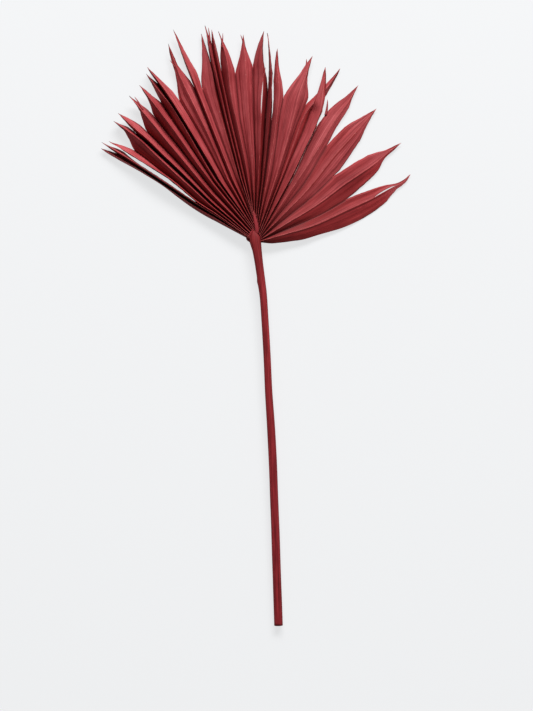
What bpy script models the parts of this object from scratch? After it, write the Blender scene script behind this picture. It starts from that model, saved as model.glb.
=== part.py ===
"""Fan palm leaf: one dried, dyed leaf, a pleated half-round blade on a long bare stalk.

It lies flat with its ribbed back up: the valleys of the pleats and the cut end of the stalk
touch the surface, the midribs stand clear of it. All lengths below are millimetres, all
bearings are degrees clockwise from the leaf's own long direction, measured at the heart,
the spot where the stalk meets the blade.
"""
import bpy
import bmesh
from math import radians, sin, cos, hypot
from mathutils import Matrix, Vector

MM = 0.001

# Leaflets from the left edge to the right edge:
# bearing of the midrib at the split, bearing of the tip, length from heart to tip.
LEAFLETS = [
    (-60.4, -60.5, 179.0), (-58.8, -58.7, 181.0), (-56.6, -57.0, 175.0), (-51.4, -51.1, 183.0),
    (-48.1, -48.3, 185.0), (-42.8, -42.1, 189.0), (-37.8, -37.7, 190.5), (-34.1, -34.2, 196.0),
    (-31.6, -32.6, 200.5), (-25.6, -24.5, 212.0), (-21.7, -21.8, 223.0), (-16.6, -15.2, 210.0),
    (-14.0, -13.5, 214.5), (-12.5, -12.2, 212.0), (-9.5, -10.4, 208.5), (-4.0, -3.6, 202.5),
    (2.3, 2.2, 205.0), (5.6, 3.6, 203.0), (9.0, 6.5, 190.0), (16.4, 17.4, 189.5),
    (22.3, 22.3, 183.5), (26.6, 26.6, 188.5), (33.9, 34.1, 183.0), (44.4, 43.3, 176.5),
    (59.5, 57.2, 173.5), (72.8, 68.0, 167.5)]

# Splits between neighbouring leaflets, with the two outer edges of the blade at the ends:
# bearing, length from the heart to the bottom of the split.
SPLITS = [
    (-61.3, 158.0), (-59.6, 164.0), (-58.0, 158.0), (-54.8, 150.0), (-49.5, 156.0),
    (-46.1, 153.0), (-40.3, 158.0), (-35.3, 164.0), (-33.3, 180.0), (-29.4, 157.5),
    (-22.5, 158.0), (-20.2, 159.0), (-14.7, 176.0), (-13.2, 178.0), (-11.7, 171.0),
    (-7.3, 165.0), (-1.1, 171.5), (4.6, 148.0), (7.0, 124.0), (11.1, 143.0), (20.6, 141.5),
    (24.4, 136.0), (28.9, 126.0), (37.9, 116.0), (52.0, 99.0), (67.6, 98.0), (83.0, 98.0)]

# Where the fold lines start, along the sides of the costa: fold number, x, y from the heart.
COLLAR = [(0, -4.5, -4.5), (10, -3.8, 0.0), (18, -3.2, 5.5), (24, -2.9, 12.0), (29, -2.5, 18.5),
          (32, -1.7, 19.0), (35, -0.5, 13.0), (38, 0.8, 7.0), (44, 2.6, 1.8), (49, 3.6, -2.0),
          (52, 4.0, -6.0)]

HEART_HEIGHT = 10.0      # height of the fold lines at the heart
HALF_BLADE = 0.10        # true width of half a leaflet, as a share of its distance out
FLATTEST = 0.035         # height of the flattest midribs, as a share of their distance out
STEEPEST = 3.0           # rise over run of the steepest pleat
TIP_DROOP = 0.55         # share of its height a midrib loses towards its tip
BLADE_DROP = 1.2         # blade thickness measured straight down
STATIONS = [0.0, 0.1, 0.22, 0.36, 0.5, 0.62, 0.72, 0.8, 0.87, 0.94, 1.0]

# Stalk, cap and costa, from the cut end to the last trace of the costa: x, y, height, radius.
STALK = [(22.5, -390.0, 4.3, 4.3), (20.3, -325.0, 5.2, 4.2), (18.1, -262.0, 6.1, 4.1),
         (14.9, -190.0, 7.1, 4.0), (12.6, -155.0, 7.6, 3.7), (8.9, -83.0, 8.6, 3.6),
         (7.2, -60.0, 8.9, 3.7), (5.6, -47.5, 9.1, 3.9), (2.4, -26.0, 9.4, 4.6),
         (-0.3, -6.0, 9.6, 5.9), (-0.9, 2.0, 9.6, 4.5), (-1.2, 9.0, 9.4, 3.0),
         (-2.0, 17.0, 9.1, 2.2), (-2.8, 26.0, 9.0, 0.7)]
STALK_SIDES = 4          # bevel resolution of the stalk
FLAP = (5.0, 7.0, 1.6)   # half sizes of the small flap under the joint


def clear_everything():
    for item in list(bpy.data.objects):
        bpy.data.objects.remove(item, do_unlink=True)
    for group in list(bpy.data.collections):
        bpy.data.collections.remove(group)


def collection(name):
    group = bpy.data.collections.new(name)
    bpy.context.scene.collection.children.link(group)
    return group


def polar(bearing, distance):
    return Vector((distance * sin(radians(bearing)), distance * cos(radians(bearing))))


def collar_point(fold):
    for (a, ax, ay), (b, bx, by) in zip(COLLAR, COLLAR[1:]):
        if fold <= b:
            share = (fold - a) / (b - a)
            return Vector((ax + share * (bx - ax), ay + share * (by - ay)))


def nearest_station(share):
    return min(range(3, len(STATIONS) - 2), key=lambda k: abs(STATIONS[k] - share))


def valley_height(distance, split_distance):
    return HEART_HEIGHT * max(0.0, 1.0 - distance / split_distance) ** 1.2


def margin_shape(share):
    return (1.0 - share) ** 1.3 * (1.0 + 1.6 * share)


def split_plan():
    plan = []
    for number, (bearing, distance) in enumerate(SPLITS):
        left = LEAFLETS[max(number - 1, 0)][2]
        right = LEAFLETS[min(number, len(LEAFLETS) - 1)][2]
        plan.append(nearest_station(2.0 * distance / (left + right)))
    return plan


def rib_line(number):
    """Plan points and heights of one midrib, heart to tip."""
    at_split, at_tip, length = LEAFLETS[number]
    (left_bearing, left), (right_bearing, right) = SPLITS[number], SPLITS[number + 1]
    reach = 0.5 * (left + right)
    knee = nearest_station(reach / length)
    half_angle = radians(right_bearing - left_bearing) / 2.0
    height = reach * max(FLATTEST ** 2, HALF_BLADE ** 2 - half_angle ** 2) ** 0.5
    height = min(height, STEEPEST * reach * half_angle)
    start, bend, tip = collar_point(2 * number + 1), polar(at_split, reach), polar(at_tip, length)
    points = []
    for k, share in enumerate(STATIONS):
        if k <= knee:
            spot = start.lerp(bend, share / STATIONS[knee])
            out = spot.length / reach
            points.append((spot, valley_height(spot.length, reach) + height * out))
        else:
            part = (share - STATIONS[knee]) / (1.0 - STATIONS[knee])
            points.append((bend.lerp(tip, part), height * (1.0 - TIP_DROOP * part ** 2)))
    return points


def valley_line(number, split_station):
    bearing, distance = SPLITS[number]
    start, end = collar_point(2 * number), polar(bearing, distance)
    points = []
    for k in range(split_station + 1):
        spot = start.lerp(end, STATIONS[k] / STATIONS[split_station])
        points.append((spot, valley_height(spot.length, distance)))
    return points


def margin_line(split_point, ribs, split_station):
    """Free edge of a leaflet, from the split to the station before its tip."""
    reach = split_point - ribs[split_station][0]
    points = []
    for k in range(split_station + 1, len(STATIONS) - 1):
        part = (STATIONS[k] - STATIONS[split_station]) / (1.0 - STATIONS[split_station])
        width = margin_shape(part)
        spot, height = ribs[k]
        points.append((spot + reach * width, height * max(0.0, 1.0 - width)))
    return points


def pleated_sheet(mesh):
    """Upper face of the whole blade: three lines to a leaflet, shared up to each split."""
    def vertex(point):
        spot, height = point
        return mesh.verts.new((spot.x, spot.y, height + BLADE_DROP))

    stations = split_plan()
    valleys = [valley_line(n, stations[n]) for n in range(len(SPLITS))]
    shared = [[vertex(p) for p in line] for line in valleys]
    for number in range(len(LEAFLETS)):
        ribs = rib_line(number)
        rib = [vertex(p) for p in ribs]
        sides = []
        for side in (number, number + 1):
            free = margin_line(valleys[side][-1][0], ribs, stations[side])
            sides.append(shared[side] + [vertex(p) for p in free] + [rib[-1]])
        left, right = sides
        for k in range(len(STATIONS) - 1):
            for a, b in ((left, rib), (rib, right)):
                corners = [a[k], a[k + 1], b[k + 1], b[k]]
                mesh.faces.new(list(dict.fromkeys(corners)))
    bmesh.ops.recalc_face_normals(mesh, faces=mesh.faces)
    if sum(face.normal.z for face in mesh.faces) < 0.0:
        bmesh.ops.reverse_faces(mesh, faces=mesh.faces)
    bmesh.ops.triangulate(mesh, faces=mesh.faces[:])


def blade(group):
    mesh = bmesh.new()
    pleated_sheet(mesh)
    upper = mesh.faces[:]
    lower = bmesh.ops.duplicate(mesh, geom=mesh.verts[:] + mesh.edges[:] + upper)
    twins = lower["vert_map"]
    under = [item for item in lower["geom"] if isinstance(item, bmesh.types.BMFace)]
    bmesh.ops.reverse_faces(mesh, faces=under)
    rims = [edge for edge in mesh.edges if edge.is_boundary and edge.verts[0] in twins]
    upper_edges = [edge for edge in rims if edge.link_faces[0] in set(upper)]
    for edge in upper_edges:
        a, b = edge.verts
        if edge.link_loops[0].vert != a:
            a, b = b, a
        mesh.faces.new([b, a, twins[a], twins[b]])
    for vertex in {v for face in under for v in face.verts}:
        vertex.co.z -= BLADE_DROP
    bmesh.ops.triangulate(mesh, faces=mesh.faces[:])
    bmesh.ops.recalc_face_normals(mesh, faces=mesh.faces)
    return finished("blade", mesh, group)


def finished(name, mesh, group):
    data = bpy.data.meshes.new(name)
    mesh.to_mesh(data)
    mesh.free()
    item = bpy.data.objects.new(name, data)
    group.objects.link(item)
    return item


def stalk(group):
    curve = bpy.data.curves.new("stalk", "CURVE")
    curve.dimensions = "3D"
    curve.bevel_depth = 1.0
    curve.bevel_resolution = STALK_SIDES
    curve.resolution_u = 3
    curve.use_fill_caps = True
    line = curve.splines.new("BEZIER")
    line.bezier_points.add(len(STALK) - 1)
    for point, (x, y, height, radius) in zip(line.bezier_points, STALK):
        point.co = (x, y, height)
        point.radius = radius
        point.handle_left_type = point.handle_right_type = "AUTO"
    item = bpy.data.objects.new("stalk curve", curve)
    group.objects.link(item)
    shape = bpy.data.meshes.new_from_object(item)
    bpy.data.objects.remove(item, do_unlink=True)
    mesh = bmesh.new()
    mesh.from_mesh(shape)
    bmesh.ops.remove_doubles(mesh, verts=mesh.verts, dist=0.0001)
    bmesh.ops.triangulate(mesh, faces=mesh.faces[:])
    bmesh.ops.recalc_face_normals(mesh, faces=mesh.faces)
    return finished("stalk", mesh, group)


def flap(group):
    """The small tongue on the upper face of the joint, hidden below when the leaf lies down."""
    mesh = bmesh.new()
    bmesh.ops.create_uvsphere(mesh, u_segments=12, v_segments=6, radius=1.0)
    place = Matrix.Translation((-0.9, 3.0, 6.3)) @ Matrix.Diagonal((*FLAP, 1.0))
    bmesh.ops.transform(mesh, matrix=place, verts=mesh.verts)
    return finished("flap", mesh, group)


def unite(body, cutters):
    for cutter in cutters:
        step = body.modifiers.new("grown together", "BOOLEAN")
        step.operation = "UNION"
        step.solver = "EXACT"
        step.object = cutter
    view = bpy.context.evaluated_depsgraph_get()
    shape = bpy.data.meshes.new_from_object(body.evaluated_get(view))
    body.modifiers.clear()
    body.data = shape
    return body


def settle(body):
    """Millimetres to metres, with the middle of the resting face at the origin."""
    mesh = bmesh.new()
    mesh.from_mesh(body.data)
    low = Vector([min(v.co[axis] for v in mesh.verts) for axis in range(3)])
    high = Vector([max(v.co[axis] for v in mesh.verts) for axis in range(3)])
    middle = Vector(((low.x + high.x) / 2, (low.y + high.y) / 2, low.z))
    bmesh.ops.translate(mesh, vec=-middle, verts=mesh.verts)
    bmesh.ops.scale(mesh, vec=(MM, MM, MM), verts=mesh.verts)
    bmesh.ops.triangulate(mesh, faces=mesh.faces[:])
    mesh.to_mesh(body.data)
    mesh.free()


def dye():
    material = bpy.data.materials.new("dyed_leaf")
    material.use_nodes = True
    shader = material.node_tree.nodes["Principled BSDF"]
    shader.inputs["Base Color"].default_value = (0.30, 0.03, 0.045, 1.0)
    shader.inputs["Roughness"].default_value = 0.55
    shader.inputs["Metallic"].default_value = 0.0
    return material


clear_everything()
leaf_group = collection("fan palm leaf")
cutter_group = collection("cutters")
leaf = blade(leaf_group)
cutters = [stalk(cutter_group), flap(cutter_group)]
for cutter in cutters:
    cutter.hide_render = True
    cutter.display_type = "WIRE"
unite(leaf, cutters)
leaf.name = leaf.data.name = "palm_leaf"
leaf.data.materials.clear()
leaf.data.materials.append(dye())
settle(leaf)
for cutter in cutters:
    bpy.data.objects.remove(cutter, do_unlink=True)
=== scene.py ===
"""A dried fan palm leaf, dyed burgundy, laid flat with its ribbed back up."""
from math import cos, degrees, exp, hypot, pi, radians, sin, sqrt

import bpy
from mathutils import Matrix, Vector, noise

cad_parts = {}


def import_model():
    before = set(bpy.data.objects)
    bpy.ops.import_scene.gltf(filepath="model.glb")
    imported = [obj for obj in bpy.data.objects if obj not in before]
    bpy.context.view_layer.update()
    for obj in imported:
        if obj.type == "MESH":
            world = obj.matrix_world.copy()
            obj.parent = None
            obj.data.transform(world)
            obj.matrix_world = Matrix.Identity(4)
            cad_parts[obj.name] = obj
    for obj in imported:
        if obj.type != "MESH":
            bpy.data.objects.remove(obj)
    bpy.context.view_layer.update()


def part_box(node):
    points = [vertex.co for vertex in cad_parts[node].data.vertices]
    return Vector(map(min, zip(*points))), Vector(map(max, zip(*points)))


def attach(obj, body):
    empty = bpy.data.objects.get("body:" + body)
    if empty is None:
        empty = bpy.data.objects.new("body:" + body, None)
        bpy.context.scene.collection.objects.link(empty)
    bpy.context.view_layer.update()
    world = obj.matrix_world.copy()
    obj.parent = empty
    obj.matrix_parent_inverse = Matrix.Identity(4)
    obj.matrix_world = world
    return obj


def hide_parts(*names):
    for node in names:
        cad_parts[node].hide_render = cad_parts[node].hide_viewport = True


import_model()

# ---------------------------------------------------------------------------------------------
# The blade: one thin dry sheet, pleated like a fan, grown from the costa and split at the rim
# into pointed leaflets. Its valleys lie low over the table, its midribs stand up as ridges.
# ---------------------------------------------------------------------------------------------
# The leaf is measured from its heart, where the stalk meets the blade: lengths outwards in
# millimetres, bearings in degrees clockwise from the leaf's own long direction.
HEART_FROM_LEFT = 155.8   # from the leaf's leftmost tip
HEART_FROM_FOOT = 390.15  # from the cut foot of the stalk
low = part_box("palm_leaf")[0]
heart_x = low[0] * 1000.0 + HEART_FROM_LEFT
heart_y = low[1] * 1000.0 + HEART_FROM_FOOT


def spot(length, bearing):
    return Vector((length * sin(radians(bearing)), length * cos(radians(bearing)), 0.0))


def world(x, y, z):
    return ((heart_x + x) / 1000.0, (heart_y + y) / 1000.0, z / 1000.0)


# Valleys, left edge of the blade to right edge: where each starts beside the costa (x, y), the
# (length, bearing) places it runs through, the bottom of its split last, and its height there.
VALLEYS = [
    ((-6.6, -3.4), [(44, -69.7), (100, -62.1), (130, -60.9), (158, -60.9)], 1.6),
    ((-6.4, -2.6), [(45.5, -64.4), (101, -60.5), (147, -59.4), (164, -59.2)], 0.8),
    ((-6.2, -2.2), [(46.5, -61.9), (66.7, -60.7)], 4.6),
    ((-5.9, -1.8), [(47.5, -59.4), (67, -59.0), (93, -56.3), (116, -55.6), (134, -54.9), (150, -54.8)], 4.0),
    ((-5.2, -0.9), [(50, -54.9), (77.5, -51.9), (100, -50.5), (119, -49.9), (156, -49.5)], 0.6),
    ((-4.4, 0.4), [(53, -50.2), (100, -46.9), (153, -46.1)], 2.0),
    ((-3.2, 2.6), [(60, -43.5), (100, -41.3), (158, -40.3)], 2.0),
    ((-2.2, 4.6), [(66, -38.0), (100, -36.4), (164, -35.3)], 2.6),
    ((-1.6, 5.6), [(67, -34.5), (114, -32.9), (150, -32.5), (183, -32.7)], 0.6),
    ((-1.0, 6.6), [(64, -29.3), (110, -28.9), (157.5, -29.4)], 1.8),
    ((-0.9, 8.6), [(61.4, -24.3), (110, -23.2), (158, -22.5)], 1.2),
    ((-1.2, 12.0), [(59, -19.3), (110, -19.8), (159, -20.1)], 2.6),
    ((-2.2, 17.0), [(58, -15.5), (120, -15.0), (152, -14.9), (176, -14.6)], 0.6),
    ((-3.4, 22.5), [(57.6, -13.4), (119.5, -13.6), (160, -13.4), (181, -13.2), (200, -12.9)], 0.8),
    ((-2.9, 23.0), [(57, -10.1), (100, -11.4), (130, -11.8), (171, -11.8)], 0.6),
    ((-1.9, 18.5), [(56.2, -5.3), (114, -7.8), (141, -7.6), (165, -7.3)], 3.4),
    ((-0.7, 13.5), [(56, -0.1), (116, -1.1), (171.5, -1.1)], 0.6),
    ((0.0, 9.5), [(56.3, 5.2), (116, 4.7), (148, 4.6)], 0.6),
    ((0.6, 6.6), [(56.5, 8.6), (100, 7.9), (119, 7.5)], 2.6),
    ((1.6, 4.4), [(57.9, 14.3), (118, 11.3), (143, 11.1)], 2.4),
    ((2.6, 2.6), [(60, 22.0), (86, 20.8), (120, 20.2), (141.5, 20.6)], 1.4),
    ((3.6, 1.6), [(61.8, 25.3), (80, 24.6), (110, 24.2), (138, 23.5)], 1.0),
    ((4.0, 0.4), [(66, 32.2), (104, 29.2), (125.6, 28.9)], 2.0),
    ((4.2, -1.4), [(64.2, 43.2), (101.7, 39.0), (116, 37.9)], 2.6),
    ((4.2, -3.0), [(52.8, 56.4), (99, 52.0)], 2.4),
    ((4.2, -4.4), [(45.7, 74.3), (98, 67.6)], 1.6),
    ((3.4, -6.3), [(13.0, 122.5), (22.4, 107.9), (34.5, 98.8), (44, 95.2), (63, 88.6), (89, 84.0),
                   (110, 80.2)], 0.8)]

# Leaflets, left to right: the (length, bearing) places the midrib runs through, its tip last, then
# the free left and right margins between the bottoms of the splits and the tip.
LEAFLETS = [
    ([(44.7, -66.6), (84, -62.7), (100, -61.6), (130, -60.4), (159, -60.4), (179, -60.5)],
     [(170, -60.8)], [(172, -59.9)]),
    ([(46, -62.9), (80, -60.7), (101, -59.7), (130, -59.0), (147, -58.8), (181, -58.7)],
     [(172, -59.0)], [(80, -59.9), (90, -59.4), (103, -58.9), (128, -58.5), (141, -58.3), (150, -57.9),
                      (157, -57.4), (165, -57.7), (174, -58.4)]),
    ([(46.6, -61.2), (66.7, -60.1), (80, -58.4), (92, -57.3), (106, -56.6), (131, -56.9),
                    (150, -57.0), (175, -57.3)],
     [(80, -58.8), (92, -57.7), (106, -56.9), (131, -57.1), (150, -57.2), (165, -57.2)],
     [(153, -55.0), (160, -55.6), (168, -56.6)]),
    ([(49, -57.0), (75.5, -53.9), (104, -52.2), (134, -51.0), (150, -50.5), (182.7, -51.1)],
     [(159, -52.8), (168, -51.4), (175, -51.3)], [(161, -49.2), (169, -49.4), (176, -50.3)]),
    ([(51.4, -52.9), (79, -50.4), (102, -49.3), (121, -48.9), (145, -48.4), (160, -48.5),
                   (184.7, -48.3)],
     [(160, -49.3), (172, -48.8), (178, -48.6)], [(161, -46.1), (168, -46.5), (173, -47.0), (180, -47.8)]),
    ([(56, -46.8), (86.5, -44.9), (108, -43.9), (132, -43.2), (150, -42.7), (189, -42.1)],
     [(163, -44.3), (170, -43.0), (176, -42.5)], [(168, -40.5), (177, -41.2), (183, -41.7)]),
    ([(64, -39.9), (97, -39.0), (122, -38.1), (150, -37.8), (190.5, -37.7)],
     [(162, -39.9), (168, -38.9), (176, -38.2)], [(168, -35.6), (173, -36.3), (185, -37.2)]),
    ([(71, -36.2), (92, -35.0), (115.5, -33.9), (151, -33.2), (173, -33.8), (196, -34.1)],
     [(168, -35.2), (174, -34.9), (186, -34.4)], [(187, -33.2), (191, -33.7)]),
    ([(67, -33.1), (76.5, -32.5), (113, -32.0), (149, -31.9), (172, -32.1), (185, -32.4),
                   (200.5, -32.8)],
     [(190, -32.9), (196, -32.9)], [(168, -29.9), (178, -30.9), (190, -31.9)]),
    ([(62.6, -26.6), (95.5, -25.4), (150, -25.4), (168, -25.5), (184, -25.3), (212, -24.5)],
     [(165, -28.4), (172, -27.4), (183, -26.3), (194, -25.8), (203, -25.3)],
     [(163, -22.5), (169, -22.8), (179, -23.9), (188, -24.6), (197, -24.5)]),
    ([(60.4, -22.2), (110, -22.0), (163, -21.9), (198, -22.0), (223, -21.8)],
     [(165, -22.5), (185, -22.4), (200, -22.2)],
     [(166, -19.8), (176, -19.8), (187, -20.5), (198, -21.0), (211, -21.4)]),
    ([(58.4, -16.6), (144, -16.0), (165, -15.1), (180, -14.9), (197, -15.1), (210.3, -15.1)],
     [(169, -19.0), (176, -18.0), (184, -17.1), (199, -15.8)], [(185, -14.6), (197, -14.8)]),
    ([(57.9, -14.5), (120, -14.3), (171, -13.9), (190, -13.9), (217, -13.6)],
     [(180, -14.6), (190, -14.4), (199, -14.1), (210, -13.7)], [(206, -13.2)]),
    ([(57.2, -11.8), (119, -12.5), (150, -12.4), (170, -12.4), (212, -12.1)],
     [(206, -12.5)], [(180, -11.8), (194, -11.8), (204, -12.0)]),
    ([(56.5, -7.8), (117, -9.6), (129, -10.0), (149, -10.0), (168, -9.5), (185, -9.6),
                    (208.5, -10.4)],
     [(177, -11.6), (185, -11.2), (192, -10.6), (199, -10.1)],
     [(170, -7.4), (184, -8.3), (192, -9.0), (198, -9.6)]),
    ([(56, -2.6), (116, -3.2), (156, -3.4), (202.6, -3.6)],
     [(168, -6.9), (175, -6.0), (182, -5.1), (193, -4.2)], [(178, -1.9), (184, -2.6), (193, -3.3)]),
    ([(56, 2.5), (116, 2.6), (151, 2.8), (166, 2.3), (186, 1.8), (205.3, 2.2)],
     [(183, -0.2), (192, 0.6), (200, 1.5)], [(159, 3.9), (168, 3.0), (176, 2.4), (189, 2.1), (197, 2.2)]),
    ([(56.4, 6.9), (117, 6.4), (148, 6.0), (167, 5.0), (184, 4.3), (203.4, 3.2)],
     [(158, 4.5), (171, 4.3), (187, 3.8), (194, 3.6)],
     [(128, 7.2), (137, 6.8), (148, 6.2), (157, 6.0), (165, 5.8), (171, 5.3), (181, 4.7), (192, 3.9)]),
    ([(57, 11.5), (118, 10.0), (143, 9.2), (160, 8.0), (172, 7.0), (189.7, 6.5)],
     [(128, 7.6), (137, 7.3), (148, 6.9), (157, 6.4), (177, 6.2), (185, 6.25)],
     [(150, 10.4), (160, 9.2), (168, 8.1), (175, 7.4), (187, 6.7)]),
    ([(59, 19.0), (127, 17.5), (146, 17.0), (170, 17.2), (189.6, 17.4)],
     [(155, 12.9), (163, 14.2), (169, 15.1), (178, 16.0), (184, 16.7)],
     [(148, 20.8), (154, 19.9), (162, 18.5), (168, 17.9), (175, 17.6), (183, 17.5)]),
    ([(61.3, 23.8), (100, 22.2), (130, 21.9), (157, 24.8), (170, 25.9), (188.5, 26.6)],
     [(150, 22.2), (157, 23.3), (169, 24.7), (178, 25.7)],
     [(145, 25.2), (157, 26.4), (172, 26.7), (182, 26.8)]),
    ([(65, 31.0), (101, 29.2), (121, 28.7), (142, 27.2), (160, 24.9), (183.4, 22.3)],
     [(143, 23.5), (150, 23.4), (159, 23.1), (170, 22.7), (178, 22.3)],
     [(127, 28.5), (134, 28.3), (141, 28.1), (146, 27.5), (151, 26.9), (156, 26.3), (163, 25.3),
      (169, 24.5), (177, 23.4)]),
    ([(70, 36.7), (117, 34.9), (139, 34.3), (160, 34.5), (183.2, 34.1)],
     [(127, 28.9), (140, 29.6), (147, 29.9), (157, 31.2), (167, 32.7), (176, 33.5)],
     [(124, 37.3), (131, 36.7), (143, 36.2), (152, 36.1), (160, 35.8), (167, 35.0), (174, 34.5)]),
    ([(58.2, 49.1), (106, 44.5), (136, 43.9), (166, 43.4), (176.5, 43.3)],
     [(125, 38.2), (141, 39.0), (150, 40.0), (157, 41.1), (165, 42.1), (171, 42.8)],
     [(107, 51.6), (120, 49.9), (132, 48.3), (143, 47.2), (152, 45.7), (161, 44.6), (168, 43.9)]),
    ([(48.5, 65.0), (97, 59.9), (118, 59.1), (136, 58.7), (158, 57.5), (173.6, 57.2)],
     [(106, 52.6), (123, 53.1), (139, 54.0), (150, 55.4), (155, 56.2), (164, 56.7)],
     [(106, 66.5), (114, 65.2), (128, 63.3), (140, 61.6), (148, 59.3), (153, 58.5), (164, 57.9)]),
    ([(44.4, 82.2), (87, 74.7), (125, 71.7), (144, 70.3), (156, 69.8), (167.5, 68.0)],
     [(107, 67.4), (122, 67.7), (139, 68.3), (150, 69.3), (158, 69.1)],
     [(122, 77.9), (135, 75.2), (142, 73.1), (149, 71.4), (155, 70.8), (161, 69.9)])]

# Leaflets whose ridge stands lower or higher than the plain pleat would, and how far the margins of
# one hang below it.
CRESTS = {0: 7.4, 1: 13.0, 4: 14.0, 7: 13.8, 9: 9.5, 10: 10.0, 11: 6.5, 12: 12.0, 13: 9.5, 14: 11.5,
          15: 9.0, 18: 6.2, 19: 7.0, 20: 4.6, 21: 8.5, 22: 4.2, 23: 3.8, 24: 3.9, 25: 3.3}
MARGIN_HANG = {21: 0.3}
# Halves whose lower edge is rubbed pale: from, to.
RUBBED = {(21, 1): (72, 150), (22, 0): (62, 125), (2, 0): (70, 160), (16, 1): (120, 150)}
# Leaflets torn open along the midrib: from, to and widest gap.
SLITS = {16: (118, 158, 1.7), 25: (125, 150, 1.4)}
# Halves painted darker, to near black, as shade on faces turned from the light or sunk deep in folds, and
# how strongly.
PAINTED_SHADE = {(0, 1): 0.75, (1, 0): 0.9, (3, 0): 0.17, (4, 0): 0.8, (5, 0): 0.17, (6, 0): 0.14,
          (7, 0): 0.17, (8, 0): 0.7, (11, 1): 0.4, (12, 0): 0.12, (13, 0): 0.32, (14, 0): 0.12,
          (16, 1): 0.35, (17, 1): 0.6, (20, 0): 0.15, (20, 1): 0.2, (21, 1): 0.2, (22, 0): 0.07,
          (22, 1): 0.07, (23, 0): 0.13, (24, 0): 0.13, (24, 1): 0.25, (25, 0): 0.22, (25, 1): 0.25}
# The painted shade stops this close to a tip; two leaflets are clear of it further in.
CLEAR_END = 16.0
CLEAR_TIP = {0: 30.0, 1: 30.0}
# Halves with a painted shade line just under the ridge, and how strong it is.
RIDGE_SHADE_LINE = {(23, 1): 0.34, (24, 1): 0.46, (25, 1): 0.46}
# Minor folds across a half, margin to midrib: (share of its width, lift).
MINOR_FOLDS = {
    (9, 0): [(0.35, 0.5), (0.6, -0.4)], (11, 0): [(0.3, 0.5), (0.65, -0.4)],
    (15, 0): [(0.3, -0.4), (0.65, 0.5)], (15, 1): [(0.4, 0.5), (0.7, -0.4)],
    (16, 0): [(0.36, 0.5), (0.5, -0.6), (0.7, 0.4)], (18, 0): [(0.5, 0.4)],
    (19, 0): [(0.3, 0.4), (0.55, -0.3), (0.8, 0.3)], (19, 1): [(0.4, -0.4), (0.7, 0.3)],
    (20, 0): [(0.3, -0.4), (0.6, 0.4)], (22, 0): [(0.3, 0.5), (0.6, -0.4)], (22, 1): [(0.5, -0.4)],
    (23, 0): [(0.2, 0.4), (0.5, -0.4), (0.7, 0.0)], (23, 1): [(0.4, 0.4), (0.7, -0.3)],
    (24, 0): [(0.22, 0.5), (0.55, -0.35), (0.8, 0.1)], (24, 1): [(0.5, -0.4)],
    (25, 0): [(0.25, 0.5), (0.5, -0.3), (0.8, 0.1)]}

HEART_HEIGHT = 9.3        # fold lines beside the costa
PINCH = 34.0              # where the pleats are pinched deepest
PINCH_DIP = 1.2           # how far the valleys dip there
PINCH_RISE = 2.9          # how far the ridges rise there
CREST_LIMIT = 16.3        # no ridge stands higher
TIP_DROOP = 0.42          # share of its height a ridge loses between its highest place and its tip
HALF_WIDTH = 0.098        # true width of half a leaflet, as a share of the distance from the heart
FLATTEST = 0.16           # rise across the flattest half, as a share of its width
TABLE_CLEAR = 0.6         # no margin hangs lower
FLAT_FROM = 20            # from this leaflet on the halves are flat, not arched
ARCH = 0.035              # how far an arched half bows up, as a share of its width
FLAT_ARCH = 0.006         # the same for a flat half
RAGGED = 0.3              # waver of the free margins
HANG_EASE = 8.0           # length past the split over which a margin takes up its own hang
NARROW = 3.2              # folds narrower than this, seen from above, are darkened with painted shade
LINE_FADE = 20.0          # a painted shade line under a ridge ends this far from the tip, and fades as far
SHADE_FADE = 25.0          # the painted shade fades out over this length
INNER_ROWS = 11           # cross rows between the costa and the ring
RING = 45.0               # from here out the cross rows are arcs round the heart
ROW_STEP = 2.6
LAST_STEP = 1.6           # the last cross row stops at least this short of the tip
MINOR_ROWS = 60           # the minor folds stay sharp this many cross rows out from the ring
ACROSS = [0.0, 0.08, 0.2, 0.32, 0.44, 0.56, 0.68, 0.8, 0.92, 1.0]     # valley to midrib
LAST_COLUMN = ACROSS[-2]  # the column beside the midrib
SHEET = 0.42              # thickness of the dry blade
FOLD_UNIT = 20.0          # millimetres to one unit of the fold and wear coordinates
GRAIN_UNIT = 100.0        # and of the grain
DEPTH_UNIT = 200.0        # and of the distance out
OPEN_EDGE = 0.15          # past the splits the edges carry no painted valley shade


def eased(knots, length):
    """Bearing of a fold line through (length, bearing) places, eased between them."""
    if length <= knots[0][0]:
        return knots[0][1]
    for i in range(len(knots) - 1):
        (a, at_a), (b, at_b) = knots[i], knots[i + 1]
        if length <= b:
            before = knots[max(i - 1, 0)]
            after = knots[min(i + 2, len(knots) - 1)]
            slope_a = (at_b - before[1]) / max(b - before[0], 1e-6)
            slope_b = (after[1] - at_a) / max(after[0] - a, 1e-6)
            t, d = (length - a) / (b - a), b - a
            return ((2 * t ** 3 - 3 * t ** 2 + 1) * at_a + (t ** 3 - 2 * t ** 2 + t) * d * slope_a
                    + (3 * t ** 2 - 2 * t ** 3) * at_b + (t ** 3 - t ** 2) * d * slope_b)
    return knots[-1][1]


def straight(knots, along):
    """Value at a place along straight runs between (place, value) knots."""
    for (a, at_a), (b, at_b) in zip(knots, knots[1:]):
        if along <= b:
            return at_a + (at_b - at_a) * max(0.0, along - a) / (b - a)
    return knots[-1][1]


def on_line(start, knots, row, length):
    """Plan point of a fold line: straight from the costa to its first place, then through the rest."""
    begin = Vector((start[0], start[1], 0.0))
    first = spot(*knots[0])
    if row < INNER_ROWS:
        length = begin.length + (RING - begin.length) * row / INNER_ROWS
    if length < knots[0][0]:
        share = (length - begin.length) / (knots[0][0] - begin.length)
        return begin.lerp(first, max(0.0, share))
    return spot(length, eased(knots, length))


def row_lengths(longest):
    """Distance out of each cross row. Inside the ring it is None, since it differs from line to line."""
    lengths = [None] * INNER_ROWS
    length = RING
    while length < longest - LAST_STEP:
        lengths.append(length)
        length += ROW_STEP
    return lengths


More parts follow.
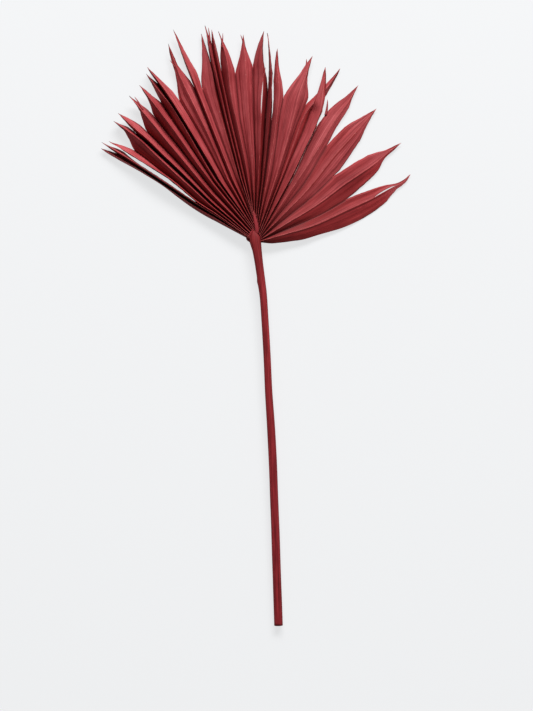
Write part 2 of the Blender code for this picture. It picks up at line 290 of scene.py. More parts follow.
def heart_fold(length):
    """The pleats are pinched deepest a short way out from the heart."""
    return length / PINCH * exp(1.0 - length / PINCH)


def valley_height(number, length):
    """Height of a valley: falling from the heart to its own low point at the bottom of its split."""
    reach, low_point = VALLEYS[number][1][-1][0], VALLEYS[number][2]
    fall = max(0.0, 1.0 - length / reach) ** 1.15
    return low_point + (HEART_HEIGHT - low_point) * fall - PINCH_DIP * heart_fold(length) * fall


def ridge_top(number):
    """How far out the midrib stands highest, and its height there."""
    outs, tops = [], []
    for side in (number, number + 1):
        reach = VALLEYS[side][1][-1][0]
        out = min(reach, LEAFLETS[number][0][-1][0] * 0.8)
        rib = spot(out, eased(LEAFLETS[number][0], out))
        edge = spot(out, eased(VALLEYS[side][1], out))
        flat = (rib - edge).length
        tall = sqrt(max((HALF_WIDTH * out) ** 2 - flat ** 2, (FLATTEST * flat) ** 2))
        outs.append(out)
        tops.append(valley_height(side, out) + tall)
    top = CRESTS.get(number, min(CREST_LIMIT, 0.5 * (tops[0] + tops[1])))
    return 0.5 * (outs[0] + outs[1]), top


def rib_height(number, length):
    """Height of a midrib: rising from the heart, highest where the splits end, drooping to the tip."""
    out, top = ridge_top(number)
    tip = LEAFLETS[number][0][-1][0]
    if length <= out:
        floor = 0.5 * (valley_height(number, length) + valley_height(number + 1, length))
        floor_out = 0.5 * (valley_height(number, out) + valley_height(number + 1, out))
        pinch = PINCH_RISE * heart_fold(length) * (1.0 - length / out)
        return floor + (top - floor_out) * (length / out) + pinch
    share = (length - out) / (tip - out)
    return top * (1.0 - TIP_DROOP * share ** 1.8)


class Sheet:
    """Collects shared points and faces with their grain and fold coordinates."""

    def __init__(self):
        self.points, self.index, self.faces = [], {}, []
        self.grain, self.fold, self.depth, self.wear = [], [], [], []

    def point(self, key, place):
        if key not in self.index:
            self.index[key] = len(self.points)
            self.points.append(world(*place))
        return self.index[key]


def minor_lift(number, side, across, length, slant):
    """How far the sheet stands off the plain pleat face."""
    wide = min(1.0, slant / 12.0) * min(1.0, length / 90.0)
    lift = (ARCH if number < FLAT_FROM else FLAT_ARCH) * slant * sin(pi * across)
    if (number, side) in MINOR_FOLDS:
        lift += wide * straight([(0.0, 0.0)] + MINOR_FOLDS[(number, side)] + [(1.0, 0.0)], across)
    grain = noise.noise(Vector((across * 9.0 + number * 7.3, side * 5.9, length * 0.012)))
    wave = noise.noise(Vector((length * 0.045, number * 5.1 + across * 1.5, 2.0 + side)))
    return lift + sin(pi * across) ** 0.6 * (0.045 * slant * grain + 0.3 * wide * wave)


def half_leaflet(sheet, number, side, lengths):
    """One pleat face: side 0 is left of the midrib, side 1 right of it."""
    valley = number + side
    start, knots, valley_low = VALLEYS[valley]
    split = knots[-1][0]
    rib_knots, left, right = LEAFLETS[number]
    rib_start = [0.5 * (a + b) for a, b in zip(VALLEYS[number][0], VALLEYS[number + 1][0])]
    tip_length = rib_knots[-1][0]
    margin = [knots[-1]] + (left, right)[side] + [rib_knots[-1]]
    flat_at_split = max((spot(split, eased(rib_knots, split)) - spot(*knots[-1])).length, 0.4)
    drop_at_split = rib_height(number, split) - valley_low
    slit = SLITS.get(number)
    rows = []
    for row, length in enumerate(lengths):
        rib = on_line(rib_start, rib_knots, row, length)
        far = rib.length
        rib_z = rib_height(number, far)
        rib_key = ("rib", number, row)
        if length is None or length <= split:
            edge = on_line(start, knots, row, length)
            edge_z = valley_height(valley, edge.length)
            edge_key = ("valley", valley, row)
        else:
            ragged = RAGGED * noise.noise(Vector((length * 0.4, number * 3.1, side * 2.7)))
            edge = spot(length, straight(margin, length) + degrees(ragged / length))
            hang = MARGIN_HANG.get(number, 1.0)
            hang = 1.0 + (hang - 1.0) * min(1.0, (length - split) / HANG_EASE)
            share = min(1.0, (rib - edge).length / flat_at_split)
            edge_z = max(TABLE_CLEAR + 0.02 * rib_z, rib_z - drop_at_split * hang * share ** 0.85)
            edge_key = ("margin", number, side, row)
        across_flat = rib - edge
        flat = max(across_flat.length, 1e-4)
        rise = rib_z - edge_z
        slant = hypot(flat, rise)
        if slit and side == 0 and length and slit[0] < length < slit[1]:
            gap = slit[2] * sin(pi * (length - slit[0]) / (slit[1] - slit[0])) ** 0.7
            rib = rib - across_flat * min(0.6, gap / flat)
            rib_key = ("slit", number, row)
        line = []
        for column, across in enumerate(ACROSS):
            place = edge.lerp(rib, across)
            off = minor_lift(number, side, across, far, slant)
            place = place - across_flat / flat * off * rise / slant
            z = edge_z + rise * across + off * flat / slant
            if column == 0:
                key = edge_key
            elif column == len(ACROSS) - 1:
                key = rib_key
            else:
                key = ("face", number, side, column, row)
            vertex = sheet.point(key, (place.x, place.y, max(z, TABLE_CLEAR)))
            line.append((vertex, across, far, slant, flat))
        rows.append(line)
    tip = spot(*rib_knots[-1])
    tip_vertex = sheet.point(("tip", number), (tip.x, tip.y, rib_height(number, tip_length)))

    def rubbed_here(corner):
        begin, end = RUBBED.get((number, side), (0.0, 0.0))
        return 1.0 if begin < corner[2] < end else 0.0

    def narrow_fold_shade(corner):
        """Painted shade: near 1 deep in a narrow fold, 0 on the blade's own two outer edges."""
        if valley in (0, len(VALLEYS) - 1):
            return 0.0
        return (1.0 - corner[1]) * max(0.0, 1.0 - corner[4] / NARROW)

    # Painted shade of a half: the line under a ridge, or the darkened faces.
    def painted_shade_here(corner):
        if (number, side) in RIDGE_SHADE_LINE and corner[1] == LAST_COLUMN:
            from_tip = max(0.0, tip_length - corner[2] - LINE_FADE)
            return RIDGE_SHADE_LINE[(number, side)] * min(1.0, from_tip / LINE_FADE)
        from_tip = max(0.0, tip_length - corner[2] - CLEAR_TIP.get(number, CLEAR_END))
        return PAINTED_SHADE.get((number, side), 0.0) * (1.0 - corner[1] ** 3) * min(1.0, from_tip / SHADE_FADE)

    def lay(corners):
        """One face. A corner is (point, share across, distance out, true width, width from above)."""
        if side:
            corners = corners[::-1]
        sheet.faces.append([c[0] for c in corners])
        sheet.grain.append([(number * 2 + side + (c[1] if not side else 1.0 - c[1]), c[2] / GRAIN_UNIT)
                            for c in corners])
        open_edge = OPEN_EDGE if max(c[2] for c in corners) > split else 0.0
        sheet.fold.append([((1.0 - c[1]) * c[3] / FOLD_UNIT, open_edge + c[1] * c[3] / FOLD_UNIT)
                           for c in corners])
        sheet.wear.append([(rubbed_here(c), c[1] * c[3] / FOLD_UNIT) for c in corners])
        # The depth coordinates carry the painted shade and the distance out.
        sheet.depth.append([(max(narrow_fold_shade(c), painted_shade_here(c)), c[2] / DEPTH_UNIT) for c in corners])

    for inner, outer in zip(rows, rows[1:]):
        for k in range(len(ACROSS) - 1):
            lay([inner[k], inner[k + 1], outer[k + 1], outer[k]])
    tip_corner = (tip_vertex, 0.5, tip_length, 0.5, 3.0 * NARROW)
    last = rows[-1]
    for k in range(len(ACROSS) - 1):
        lay([last[k], last[k + 1], tip_corner])


def mesh_piece(name, points, faces):
    """A named object of its own, put in the scene."""
    data = bpy.data.meshes.new(name)
    data.from_pydata(points, [], faces)
    piece = bpy.data.objects.new(name, data)
    bpy.context.scene.collection.objects.link(piece)
    return piece


def coordinates(piece, name, corners):
    """Gives every corner of every face its place in the grain, the folds or the stem."""
    layer = piece.data.uv_layers.new(name=name)
    flat = [value for face in corners for value in face]
    for loop, value in zip(layer.data, flat):
        loop.uv = value


blade_sheet = Sheet()
for number in range(len(LEAFLETS)):
    lengths = row_lengths(LEAFLETS[number][0][-1][0])
    half_leaflet(blade_sheet, number, 0, lengths)
    half_leaflet(blade_sheet, number, 1, lengths)
blade = mesh_piece("pleated_blade", blade_sheet.points, blade_sheet.faces)
coordinates(blade, "grain", blade_sheet.grain)
coordinates(blade, "fold", blade_sheet.fold)
coordinates(blade, "depth", blade_sheet.depth)
coordinates(blade, "wear", blade_sheet.wear)
blade.data.validate()
for face in blade.data.polygons:
    face.use_smooth = True
on_fold = {key: index for key, index in blade_sheet.index.items() if key[0] in ("rib", "valley")}
creases = {frozenset((index, on_fold[(kind, line, row + 1)]))
           for (kind, line, row), index in on_fold.items() if (kind, line, row + 1) in on_fold}
for (number, side), folds in MINOR_FOLDS.items():
    for share, _ in folds:
        column = min(range(len(ACROSS)), key=lambda k: abs(ACROSS[k] - share))
        for row in range(INNER_ROWS, INNER_ROWS + MINOR_ROWS):
            here = blade_sheet.index.get(("face", number, side, column, row))
            ahead = blade_sheet.index.get(("face", number, side, column, row + 1))
            if here and ahead:
                creases.add(frozenset((here, ahead)))
for edge in blade.data.edges:
    if frozenset(edge.vertices) in creases:
        edge.use_edge_sharp = True
thickness = blade.modifiers.new("dry sheet", "SOLIDIFY")
thickness.thickness = SHEET / 1000.0
thickness.offset = -1.0
thickness.use_rim = True


def link(nodes, a, b):
    nodes.id_data.links.new(a, b)


def new_material(name):
    material = bpy.data.materials.new(name)
    material.use_nodes = True
    nodes = material.node_tree.nodes
    return material, nodes, nodes["Principled BSDF"]


def node(nodes, kind, **values):
    made = nodes.new(kind)
    for key, value in values.items():
        if key in made.inputs:
            made.inputs[key].default_value = value
        else:
            setattr(made, key, value)
    return made


def ramp(nodes, source, *stops):
    made = nodes.new("ShaderNodeValToRGB")
    while len(made.color_ramp.elements) < len(stops):
        made.color_ramp.elements.new(0.5)
    for element, (place, colour) in zip(made.color_ramp.elements, stops):
        element.position = place
        element.color = colour if len(colour) == 4 else (*colour, 1.0)
    link(nodes, source, made.inputs["Fac"])
    return made.outputs["Color"]


def blend_colour(nodes, fac, a, b, mode="MIX"):
    made = nodes.new("ShaderNodeMix")
    made.data_type, made.blend_type = "RGBA", mode
    for socket, value in ((made.inputs["Factor"], fac), (made.inputs[6], a), (made.inputs[7], b)):
        if isinstance(value, (int, float, tuple)):
            socket.default_value = value
        else:
            link(nodes, value, socket)
    return made.outputs[2]


def maths(nodes, operation, a, b=0.0):
    made = nodes.new("ShaderNodeMath")
    made.operation = operation
    for socket, value in zip(made.inputs, (a, b)):
        if isinstance(value, (int, float)):
            socket.default_value = value
        else:
            link(nodes, value, socket)
    return made.outputs[0]


def streaks(nodes, uv, across, along, detail, seed):
    """Noise drawn out along the leaflet."""
    mapping = node(nodes, "ShaderNodeMapping")
    mapping.inputs["Scale"].default_value = (across, along, 1.0)
    mapping.inputs["Location"].default_value = (seed, seed * 0.37, seed)
    link(nodes, uv, mapping.inputs["Vector"])
    made = node(nodes, "ShaderNodeTexNoise", Scale=1.0, Detail=detail, Roughness=0.6)
    link(nodes, mapping.outputs["Vector"], made.inputs["Vector"])
    return made.outputs["Fac"]


def dyed_leaf():
    """Burgundy dye in dry leaf: drawn-out grain; painted shade darkens the folds to near black and the blade
    towards its heart; ridges paler with wear and a painted highlight; rubbed edges paler.
    """
    material, nodes, shader = new_material("dyed_leaf")
    grain = node(nodes, "ShaderNodeUVMap", uv_map="grain").outputs["UV"]
    fold = node(nodes, "ShaderNodeUVMap", uv_map="fold").outputs["UV"]
    apart = node(nodes, "ShaderNodeSeparateXYZ")
    link(nodes, fold, apart.inputs[0])
    from_rib, from_edge = apart.outputs["X"], apart.outputs["Y"]
    broad = streaks(nodes, grain, 1.1, 2.2, 3.0, 3.1)
    fibre = streaks(nodes, grain, 26.0, 1.6, 5.0, 7.7)
    cockle = streaks(nodes, grain, 4.0, 9.0, 4.0, 11.3)
    vein = streaks(nodes, grain, 9.0, 0.8, 3.0, 31.0)
    dye = ramp(nodes, broad, (0.26, (0.260, 0.0300, 0.0360)), (0.50, (0.338, 0.0540, 0.0610)),
               (0.74, (0.41, 0.0860, 0.0940)))
    lines = ramp(nodes, fibre, (0.35, (0.80, 0.70, 0.70)), (0.55, (1, 1, 1)), (0.72, (1.14, 1.30, 1.25)))
    colour = blend_colour(nodes, 0.8, dye, lines, "MULTIPLY")
    veins = ramp(nodes, vein, (0.34, (0.72, 0.60, 0.60)), (0.48, (0.98, 0.96, 0.96)),
                 (0.66, (1.14, 1.32, 1.28)))
    colour = blend_colour(nodes, 0.8, colour, veins, "MULTIPLY")
    crisp = ramp(nodes, streaks(nodes, grain, 15.0, 0.5, 2.0, 57.0), (0.40, (0.74, 0.60, 0.60)),
                 (0.44, (1, 1, 1)), (0.60, (1, 1, 1)), (0.64, (1.10, 1.30, 1.25)))
    colour = blend_colour(nodes, 0.7, colour, crisp, "MULTIPLY")
    mottle = ramp(nodes, cockle, (0.36, (0.86, 0.80, 0.80)), (0.50, (1, 1, 1)), (0.66, (1.10, 1.20, 1.18)))
    colour = blend_colour(nodes, 0.7, colour, mottle, "MULTIPLY")
    # Painted shade along the valleys, darkest at the fold line.
    valley_shade = ramp(nodes, from_edge, (0.0, (0.35, 0.25, 0.25)), (0.06, (0.8, 0.75, 0.75)), (0.12, (1, 1, 1)))
    colour = blend_colour(nodes, 0.8, colour, valley_shade, "MULTIPLY")
    depth = node(nodes, "ShaderNodeUVMap", uv_map="depth").outputs["UV"]
    inner = node(nodes, "ShaderNodeSeparateXYZ")
    link(nodes, depth, inner.inputs[0])
    # Painted shade: the blade darkens towards the heart, where the crowded pleats shade one another.
    head = ramp(nodes, inner.outputs["Y"], (0.06, (0.54, 0.32, 0.32)), (0.28, (0.76, 0.58, 0.58)),
                (0.48, (0.90, 0.84, 0.84)), (0.70, (1, 1, 1)))
    colour = blend_colour(nodes, 1.0, colour, head, "MULTIPLY")
    # Painted shade from the depth coordinates: narrow folds, faces turned from the light and the line under
    # some ridges.
    fold_shade = ramp(nodes, inner.outputs["X"], (0.05, (1, 1, 1)), (0.17, (0.90, 0.52, 0.52)),
                 (0.36, (0.54, 0.26, 0.26)), (0.80, (0.10, 0.016, 0.016)))
    colour = blend_colour(nodes, 1.0, colour, fold_shade, "MULTIPLY")
    wear_noise = streaks(nodes, grain, 3.0, 14.0, 4.0, 21.0)
    rib_line = ramp(nodes, from_rib, (0.0, (1, 1, 1)), (0.036, (0, 0, 0)))
    rubbed = node(nodes, "ShaderNodeSeparateXYZ")
    link(nodes, node(nodes, "ShaderNodeUVMap", uv_map="wear").outputs["UV"], rubbed.inputs[0])
    edge_line = ramp(nodes, rubbed.outputs["Y"], (0.0, (1, 1, 1)), (0.050, (0, 0, 0)))
    pale_edge = maths(nodes, "MULTIPLY", edge_line, rubbed.outputs["X"])
    pale_edge = maths(nodes, "MULTIPLY", pale_edge,
                      ramp(nodes, wear_noise, (0.40, (0.15, 0.15, 0.15)), (0.58, (1.0, 1.0, 1.0))))
    # Paler along the ridges: partly wear, partly a painted highlight on the lit crests.
    crest_wear_and_highlight = maths(nodes, "MULTIPLY", rib_line,
                 ramp(nodes, wear_noise, (0.36, (0.25, 0.25, 0.25)), (0.62, (1.0, 1.0, 1.0))))
    colour = blend_colour(nodes, maths(nodes, "MULTIPLY", crest_wear_and_highlight, 0.7), colour, (0.50, 0.12, 0.115, 1.0))
    chip_noise = streaks(nodes, grain, 5.0, 22.0, 3.0, 43.0)
    chips = maths(nodes, "MULTIPLY", maths(nodes, "MAXIMUM", rib_line, pale_edge),
                  ramp(nodes, chip_noise, (0.63, (0, 0, 0)), (0.68, (1, 1, 1))))
    outer_part = ramp(nodes, inner.outputs["Y"], (0.30, (0, 0, 0)), (0.42, (0.75, 0.75, 0.75)))
    chips = maths(nodes, "MULTIPLY", chips, outer_part)
    colour = blend_colour(nodes, chips, colour, (0.72, 0.46, 0.43, 1.0))
    colour = blend_colour(nodes, maths(nodes, "MULTIPLY", pale_edge, 0.75), colour, (0.80, 0.52, 0.50, 1.0))
    link(nodes, colour, shader.inputs["Base Color"])
    rough = ramp(nodes, cockle, (0.3, (0.62, 0.62, 0.62)), (0.7, (0.72, 0.72, 0.72)))
    link(nodes, rough, shader.inputs["Roughness"])
    shader.inputs["Specular IOR Level"].default_value = 0.34
    height = maths(nodes, "ADD", maths(nodes, "MULTIPLY", fibre, 0.5), maths(nodes, "MULTIPLY", cockle, 0.6))
    bump = node(nodes, "ShaderNodeBump", Strength=0.35, Distance=0.0006)
    link(nodes, height, bump.inputs["Height"])
    link(nodes, bump.outputs["Normal"], shader.inputs["Normal"])
    return material


leaf_material = dyed_leaf()
blade.data.materials.append(leaf_material)
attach(blade, "root")
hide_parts("palm_leaf")

# ---------------------------------------------------------------------------------------------
# Split tips: slivers of the same dry blade that have torn loose beside some of the points, where
# the dye bath and drying made the thin ends part along the grain.
# ---------------------------------------------------------------------------------------------
# Leaflet, where the sliver leaves it and where it ends as (length, bearing), width at its root.
SLIVERS = [(5, (169.0, -41.9), (184.7, -41.1), 1.7), (12, (199.0, -13.35), (214.0, -12.9), 1.6),
           (14, (191.0, -10.3), (205.6, -9.3), 1.5), (19, (172.0, 16.7), (184.8, 15.9), 2.4),
           (22, (140.0, 29.9), (154.8, 27.6), 2.6), (9, (187.0, -25.6), (196.0, -26.1), 1.0),
           (15, (194.0, -3.8), (202.6, -4.4), 1.2), (16, (158.0, 2.5), (168.0, 3.2), 1.2)]
SLIVER_STEPS = 8
SLIVER_DROP = 0.8         # a sliver leaves its leaflet this far below the midrib
SLIVER_SHEET = 0.35


def sliver(points, faces, leaflet, root, end, width, lift):
    """A long thin triangle of blade, slightly cupped, its end curling up."""
    begin, far = spot(*root), spot(*end)
    ahead = (far - begin).normalized()
    across = Vector((ahead.y, -ahead.x, 0.0))
    base = len(points)
    start_z = rib_height(leaflet, root[0]) - SLIVER_DROP
    end_z = rib_height(leaflet, min(end[0], LEAFLETS[leaflet][0][-1][0])) + lift
    for i in range(SLIVER_STEPS + 1):
        t = i / SLIVER_STEPS
        middle = begin.lerp(far, t) + across * 0.5 * width * sin(pi * t) * 0.4
        half = 0.5 * width * (1.0 - t) ** 0.6 + 0.1
        z = start_z + (end_z - start_z) * t
        for share, dip in ((-1.0, -0.25), (0.0, 0.0), (1.0, -0.25)):
            place = middle + across * half * share
            points.append(world(place.x, place.y, max(TABLE_CLEAR, z + dip * width)))
    for i in range(SLIVER_STEPS):
        for k in range(2):
            a = base + i * 3 + k
            faces.append([a, a + 1, a + 4, a + 3])


tip_points, tip_faces = [], []
for count, (leaflet, root, end, width) in enumerate(SLIVERS):
    sliver(tip_points, tip_faces, leaflet, root, end, width, 0.4 * (count % 3) - 0.3)
split_tips = mesh_piece("split_tips", tip_points, tip_faces)
coordinates(split_tips, "grain", [[(0.3, 1.5), (0.6, 1.5), (0.6, 1.6), (0.3, 1.6)] for _ in tip_faces])
coordinates(split_tips, "fold", [[(0.3, 0.3)] * 4 for _ in tip_faces])
coordinates(split_tips, "depth", [[(0.0, 0.9)] * 4 for _ in tip_faces])
coordinates(split_tips, "wear", [[(0.0, 0.0)] * 4 for _ in tip_faces])
for face in split_tips.data.polygons:
    face.use_smooth = True
skin = split_tips.modifiers.new("dry sheet", "SOLIDIFY")
skin.thickness = SLIVER_SHEET / 1000.0
skin.offset = -1.0
split_tips.data.materials.append(leaf_material)
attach(split_tips, "root")
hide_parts("palm_leaf")

# ---------------------------------------------------------------------------------------------
# The stalk: a long solid pithy stem, round with a slight flat, gently bowed, thicker towards the
# blade, with one small knee. It was cut straight across at its foot.
# ---------------------------------------------------------------------------------------------
# x, y, height of the middle, half width
STALK = [(22.5, -390.0, 4.3, 4.3), (21.5, -360.0, 4.7, 4.25), (20.3, -325.0, 5.2, 4.2),
         (19.3, -293.0, 5.7, 4.15), (18.1, -262.0, 6.1, 4.1), (16.8, -226.0, 6.6, 4.1),
         (14.9, -190.0, 7.1, 4.0), (12.6, -155.0, 7.6, 3.7), (11.0, -119.0, 8.1, 3.6),
         (8.9, -83.0, 8.6, 3.6), (7.4, -61.0, 8.9, 3.7), (5.9, -49.0, 9.1, 3.9),
         (3.1, -28.6, 9.3, 4.1), (1.0, -14.0, 9.5, 4.7), (-0.7, -5.6, 9.6, 5.75),
         (-1.3, -1.2, 9.6, 5.2), (-1.9, 2.4, 9.5, 3.5), (-2.3, 5.1, 9.3, 1.2)]
STALK_SIDES = 28
STALK_STEP = 4.0          # between rings
CAP_ALONG = 368.0         # the head flattens into the blade from here on
CAP_EASE = 20.0           # over this length
CAP_FLAT = 0.42           # by this share of its thickness
NUB_ALONG = 344.0         # a small leaf-base nub on the left side, this far up from the cut
NUB_LENGTH = 1.7
NUB_STANDS = 0.22         # share of the stalk's half width that it stands out by


def smooth_path(places, step):
    """Evenly eased places through a list of (x, y, z, half width)."""
    made = []
    for i in range(len(places) - 1):
        p0, p1 = places[max(i - 1, 0)], places[i]
        p2, p3 = places[i + 1], places[min(i + 2, len(places) - 1)]
        count = max(1, int(hypot(p2[0] - p1[0], p2[1] - p1[1]) / step))
        for k in range(count):
            t = k / count
            made.append(tuple(0.5 * (2 * b + (c - a) * t + (2 * a - 5 * b + 4 * c - d) * t ** 2
                                     + (3 * b - a - 3 * c + d) * t ** 3)
                              for a, b, c, d in zip(p0, p1, p2, p3)))
    made.append(places[-1])
    return made


def stem_piece(places, sides, shape):
    """A tube with rings square to its path. shape(turn, along, half) gives each ring's half sizes."""
    points, faces, corners = [], [], []
    along, lengths = 0.0, []
    for i, (x, y, z, half) in enumerate(places):
        if i:
            along += (Vector(places[i][:3]) - Vector(places[i - 1][:3])).length
        lengths.append(along)
        before = Vector(places[max(i - 1, 0)][:3])
        after = Vector(places[min(i + 1, len(places) - 1)][:3])
        ahead = (after - before).normalized()
        right = ahead.cross(Vector((0, 0, 1))).normalized()
        up = right.cross(ahead)
        for k in range(sides):
            turn = 2 * pi * k / sides
            wide, tall = shape(turn, along, half)
            place = Vector((x, y, z)) + right * wide * cos(turn) + up * tall * sin(turn)
            points.append(world(*place))
    for i in range(len(places) - 1):
        for k in range(sides):
            a, b = i * sides + k, i * sides + (k + 1) % sides
            faces.append([a, b, b + sides, a + sides])
            low_end, high_end = lengths[i] / GRAIN_UNIT, lengths[i + 1] / GRAIN_UNIT
            corners.append([(k / sides, low_end), ((k + 1) / sides, low_end),
                            ((k + 1) / sides, high_end), (k / sides, high_end)])
    return points, faces, corners


def stalk_shape(turn, along, half):
    flat = 1.0 - 0.05 * max(0.0, sin(turn)) ** 3
    ribbing = 1.0 + 0.008 * sin(turn * 9 + 1.0) + 0.006 * sin(turn * 15 + along * 0.01)
    lump = 1.0 + 0.02 * noise.noise(Vector((along * 0.03, cos(turn), sin(turn))))
    lump += NUB_STANDS * exp(-((along - NUB_ALONG) / NUB_LENGTH) ** 2) * max(0.0, -cos(turn)) ** 2
    flat *= 1.0 - CAP_FLAT * min(1.0, max(0.0, along - CAP_ALONG) / CAP_EASE)
    return half * ribbing * lump, half * flat * ribbing * lump * 0.98


stalk_path = smooth_path(STALK, STALK_STEP)
points, faces, corners = stem_piece(stalk_path, STALK_SIDES, stalk_shape)
foot, crown_ring = len(points), len(points) + 1
points.append(world(*stalk_path[0][:3]))
points.append(world(stalk_path[-1][0], stalk_path[-1][1] + 0.5, stalk_path[-1][2]))
last_ring = (len(stalk_path) - 1) * STALK_SIDES
for k in range(STALK_SIDES):
    nxt = (k + 1) % STALK_SIDES
    faces.append([foot, nxt, k])
    corners.append([(0.5, 0.5), (0.6, 0.5), (0.5, 0.6)])
    faces.append([crown_ring, last_ring + k, last_ring + nxt])
    corners.append([(k / STALK_SIDES, 4.0)] * 3)
stalk = mesh_piece("stalk", points, faces)
coordinates(stalk, "stem", corners)
for face in stalk.data.polygons:
    face.use_smooth = len(face.vertices) == 4


def dyed_stem(name, depth):
    """Dyed pithy stem; depth below 1 is a paler dye."""
    material, nodes, shader = new_material(name)
    full = ((0.170, 0.012, 0.016), (0.245, 0.020, 0.025), (0.34, 0.036, 0.042))
    light = [(red / depth, green / depth ** 3, blue / depth ** 3) for red, green, blue in full]
    stem = node(nodes, "ShaderNodeUVMap", uv_map="stem").outputs["UV"]
    broad = streaks(nodes, stem, 3.0, 2.5, 3.0, 2.0)
    fibre = streaks(nodes, stem, 24.0, 1.6, 5.0, 5.0)
    dye = ramp(nodes, broad, (0.30, light[0]), (0.55, light[1]), (0.78, light[2]))
    lines = ramp(nodes, fibre, (0.36, (0.52, 0.38, 0.38)), (0.52, (1, 1, 1)), (0.68, (1.50, 2.0, 1.85)))
    colour = blend_colour(nodes, 0.8, dye, lines, "MULTIPLY")
    apart = node(nodes, "ShaderNodeSeparateXYZ")
    link(nodes, stem, apart.inputs[0])
    up_the_stalk = maths(nodes, "MULTIPLY", apart.outputs["Y"], 0.25)
    # The colour darkens towards the stalk's head.
    darker_head = ramp(nodes, up_the_stalk, (0.88, (1, 1, 1)), (0.955, (0.70, 0.55, 0.55)))
    colour = blend_colour(nodes, 1.0, colour, darker_head, "MULTIPLY")
    link(nodes, colour, shader.inputs["Base Color"])
    link(nodes, ramp(nodes, fibre, (0.3, (0.64, 0.64, 0.64)), (0.7, (0.74, 0.74, 0.74))),
         shader.inputs["Roughness"])
    bump = node(nodes, "ShaderNodeBump", Strength=0.4, Distance=0.0005)
    link(nodes, fibre, bump.inputs["Height"])
    link(nodes, bump.outputs["Normal"], shader.inputs["Normal"])
    shader.inputs["Specular IOR Level"].default_value = 0.3
    return material


stem_material = dyed_stem("dyed_stem", 1.0)
stalk.data.materials.append(stem_material)
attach(stalk, "root")
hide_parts("palm_leaf")

# ---------------------------------------------------------------------------------------------
# The costa: the stalk's own stem running on into the blade as a tapering rib, which every pleat
# grows out of, with a shallow groove along its back.
# ---------------------------------------------------------------------------------------------
COSTA = [(0.6, 2.4, 10.0, 1.6), (0.9, 7.0, 10.3, 1.9), (-0.3, 14.0, 10.1, 1.9), (-1.8, 20.8, 9.7, 1.5),
         (-3.6, 25.5, 9.3, 0.9), (-5.2, 29.5, 9.0, 0.15)]
RIB_STEP = 1.2            # between rings
RIB_SIDES = 16


def costa_shape(turn, along, half):
    groove = 1.0 - 0.18 * max(0.0, sin(turn)) ** 6
    return half * (1.0 + 0.05 * sin(turn * 7.0)), half * 0.62 * groove


def rib_piece(name, places, shape, material):
    """A thin rib, closed with a point at each end, that grows out of the stalk's head."""
    path = smooth_path(places, RIB_STEP)
    points, faces, corners = stem_piece(path, RIB_SIDES, shape)
    for ring in (0, len(path) - 1):
        points.append(world(*path[ring][:3]))
        for k in range(RIB_SIDES):
            a, b = ring * RIB_SIDES + k, ring * RIB_SIDES + (k + 1) % RIB_SIDES
            faces.append([len(points) - 1, b, a] if ring == 0 else [len(points) - 1, a, b])
            corners.append([(k / RIB_SIDES, ring / 60.0)] * 3)
    piece = mesh_piece(name, points, faces)
    coordinates(piece, "stem", corners)
    for face in piece.data.polygons:
        face.use_smooth = True
    piece.data.materials.append(material)
    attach(piece, "root")
    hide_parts("palm_leaf")


costa_material = dyed_stem("dyed_costa", 0.86)
rib_piece("costa", COSTA, costa_shape, costa_material)

# ---------------------------------------------------------------------------------------------
# The costa's fork: a second thin point that parts from the costa on its right, half way along,
# and sinks between the middle pleats.
# ---------------------------------------------------------------------------------------------
COSTA_FORK = [(-0.8, 15.5, 9.8, 0.9), (-0.6, 18.5, 9.6, 0.7), (-0.3, 22.5, 9.2, 0.12)]
rib_piece("costa_fork", COSTA_FORK, costa_shape, costa_material)

# ---------------------------------------------------------------------------------------------
# The hastula: the thin raised lip round the head of the stalk, where the blade's tissue closes
# over it. It is paler than the stalk and runs down both sides of the head.
# ---------------------------------------------------------------------------------------------
LIP = [(-9.3, -3.6, 8.2, 0.5), (-7.8, -1.3, 8.8, 0.9), (-6.0, 1.7, 9.1, 1.0), (-4.2, 4.6, 9.3, 0.9),
       (-2.4, 6.6, 9.4, 0.7), (-0.2, 5.8, 9.4, 0.4), (2.2, 3.6, 9.3, 0.35), (4.1, 1.2, 9.2, 0.35),
       (5.3, -1.6, 8.9, 0.35), (5.8, -4.4, 8.5, 0.35), (5.6, -6.4, 8.0, 0.3)]


def lip_shape(turn, along, half):
    return half * (1.0 + 0.08 * sin(along * 1.9)), half * 0.8


rib_piece("hastula", LIP, lip_shape, costa_material)

# ---------------------------------------------------------------------------------------------
# The flap: the tongue of blade tissue on the underside of the joint, wrapped round the stalk's
# head and holding the innermost pleats together.
# ---------------------------------------------------------------------------------------------
FLAP_EDGE = [(-8.6, -4.2), (-9.6, -2.0), (-8.4, 1.4), (-6.0, 5.4), (-4.0, 10.0), (-2.2, 14.0),
             (0.4, 11.0), (3.2, 6.4), (6.2, 2.8), (7.6, -1.6), (6.4, -5.6), (3.4, -7.2),
             (-1.0, -7.8), (-5.0, -6.6)]
FLAP_MIDDLE = Vector((-0.9, 0.4, 5.4))
FLAP_CUP = 2.4            # how much higher its edge lies than its middle
FLAP_WALL = 0.9
FLAP_RINGS = 5
flap_points, flap_faces, flap_stem = [world(*FLAP_MIDDLE)], [], []
for ring in range(1, FLAP_RINGS + 1):
    share = ring / FLAP_RINGS
    for x, y in FLAP_EDGE:
        place = FLAP_MIDDLE.lerp(Vector((x, y, FLAP_MIDDLE.z)), share)
        flap_points.append(world(place.x, place.y, place.z + FLAP_CUP * share ** 2))
count = len(FLAP_EDGE)
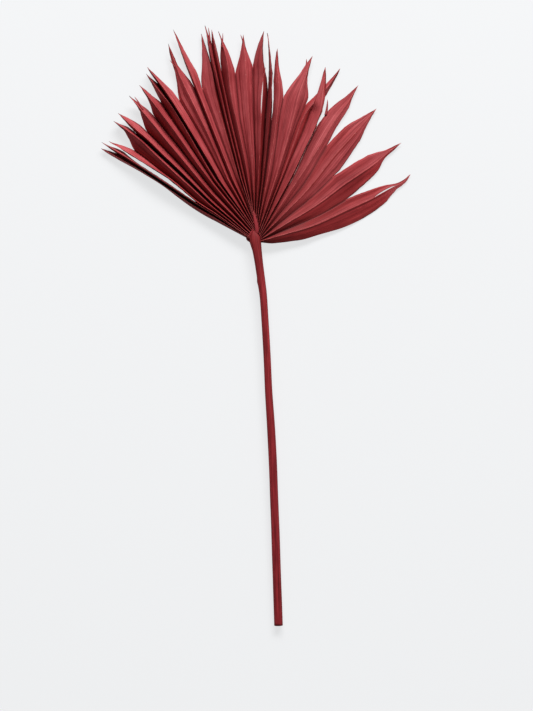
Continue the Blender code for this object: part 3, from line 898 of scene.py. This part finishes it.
for k in range(count):
    nxt = (k + 1) % count
    flap_faces.append([0, 1 + k, 1 + nxt])
    flap_stem.append([(0.5, 0.0), (k / count, 0.1), ((k + 1) / count, 0.1)])
    for ring in range(1, FLAP_RINGS):
        a = 1 + (ring - 1) * count
        flap_faces.append([a + k, a + count + k, a + count + nxt, a + nxt])
        flap_stem.append([(k / count, ring * 0.1), (k / count, ring * 0.1 + 0.1),
                          ((k + 1) / count, ring * 0.1 + 0.1), ((k + 1) / count, ring * 0.1)])
flap = mesh_piece("flap", flap_points, flap_faces)
coordinates(flap, "stem", flap_stem)
for face in flap.data.polygons:
    face.use_smooth = True
wall = flap.modifiers.new("tissue", "SOLIDIFY")
wall.thickness = FLAP_WALL / 1000.0
wall.offset = 1.0
flap.data.materials.append(stem_material)
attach(flap, "root")
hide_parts("palm_leaf")

# ---------------------------------------------------------------------------------------------
# The table: a plain pale sheet under the leaf, a large soft window of light beyond the tips and
# a soft pale room, seen from straight above.
# ---------------------------------------------------------------------------------------------
TABLE_REACH = 12.0        # metres, as is all that follows
WINDOW_FROM_LEAF = Vector((0.55, 3.42, 2.35))
CAMERA_FROM_HEART = Vector((0.0105, -0.1195, 1.687))

table_corners = [(x * TABLE_REACH, y * TABLE_REACH, 0.0) for x, y in ((-1, -1), (1, -1), (1, 1), (-1, 1))]
table = mesh_piece("table", table_corners, [[0, 1, 2, 3]])
table_paint, _, table_shader = new_material("pale_table")
table_shader.inputs["Base Color"].default_value = (0.14, 0.141, 0.144, 1.0)
table_shader.inputs["Emission Color"].default_value = (0.98, 0.99, 1.0, 1.0)
table_shader.inputs["Emission Strength"].default_value = 0.60
table_shader.inputs["Roughness"].default_value = 0.9
table.data.materials.append(table_paint)

window = bpy.data.lights.new("window", "AREA")
window.shape = "RECTANGLE"
window.size = 3.6
window.size_y = 1.2
window.energy = 274.0
window_stand = bpy.data.objects.new("window", window)
aim = Vector((heart_x / 1000.0, heart_y / 1000.0, 0.0))
window_stand.location = aim + WINDOW_FROM_LEAF
window_stand.rotation_euler = (aim - window_stand.location).to_track_quat("-Z", "Y").to_euler()
bpy.context.scene.collection.objects.link(window_stand)

room = bpy.data.worlds.new("pale_room")
room.use_nodes = True
room.node_tree.nodes["Background"].inputs["Color"].default_value = (1.0, 1.0, 1.0, 1.0)
room.node_tree.nodes["Background"].inputs["Strength"].default_value = 0.25
bpy.context.scene.world = room
bpy.context.scene.view_settings.view_transform = "Standard"
bpy.context.scene.view_settings.look = "Medium High Contrast"

camera = bpy.data.cameras.new("camera")
camera.lens, camera.sensor_width = 85.0, 36.0
camera_stand = bpy.data.objects.new("camera", camera)
camera_stand.location = aim + CAMERA_FROM_HEART
bpy.context.scene.collection.objects.link(camera_stand)
bpy.context.scene.camera = camera_stand
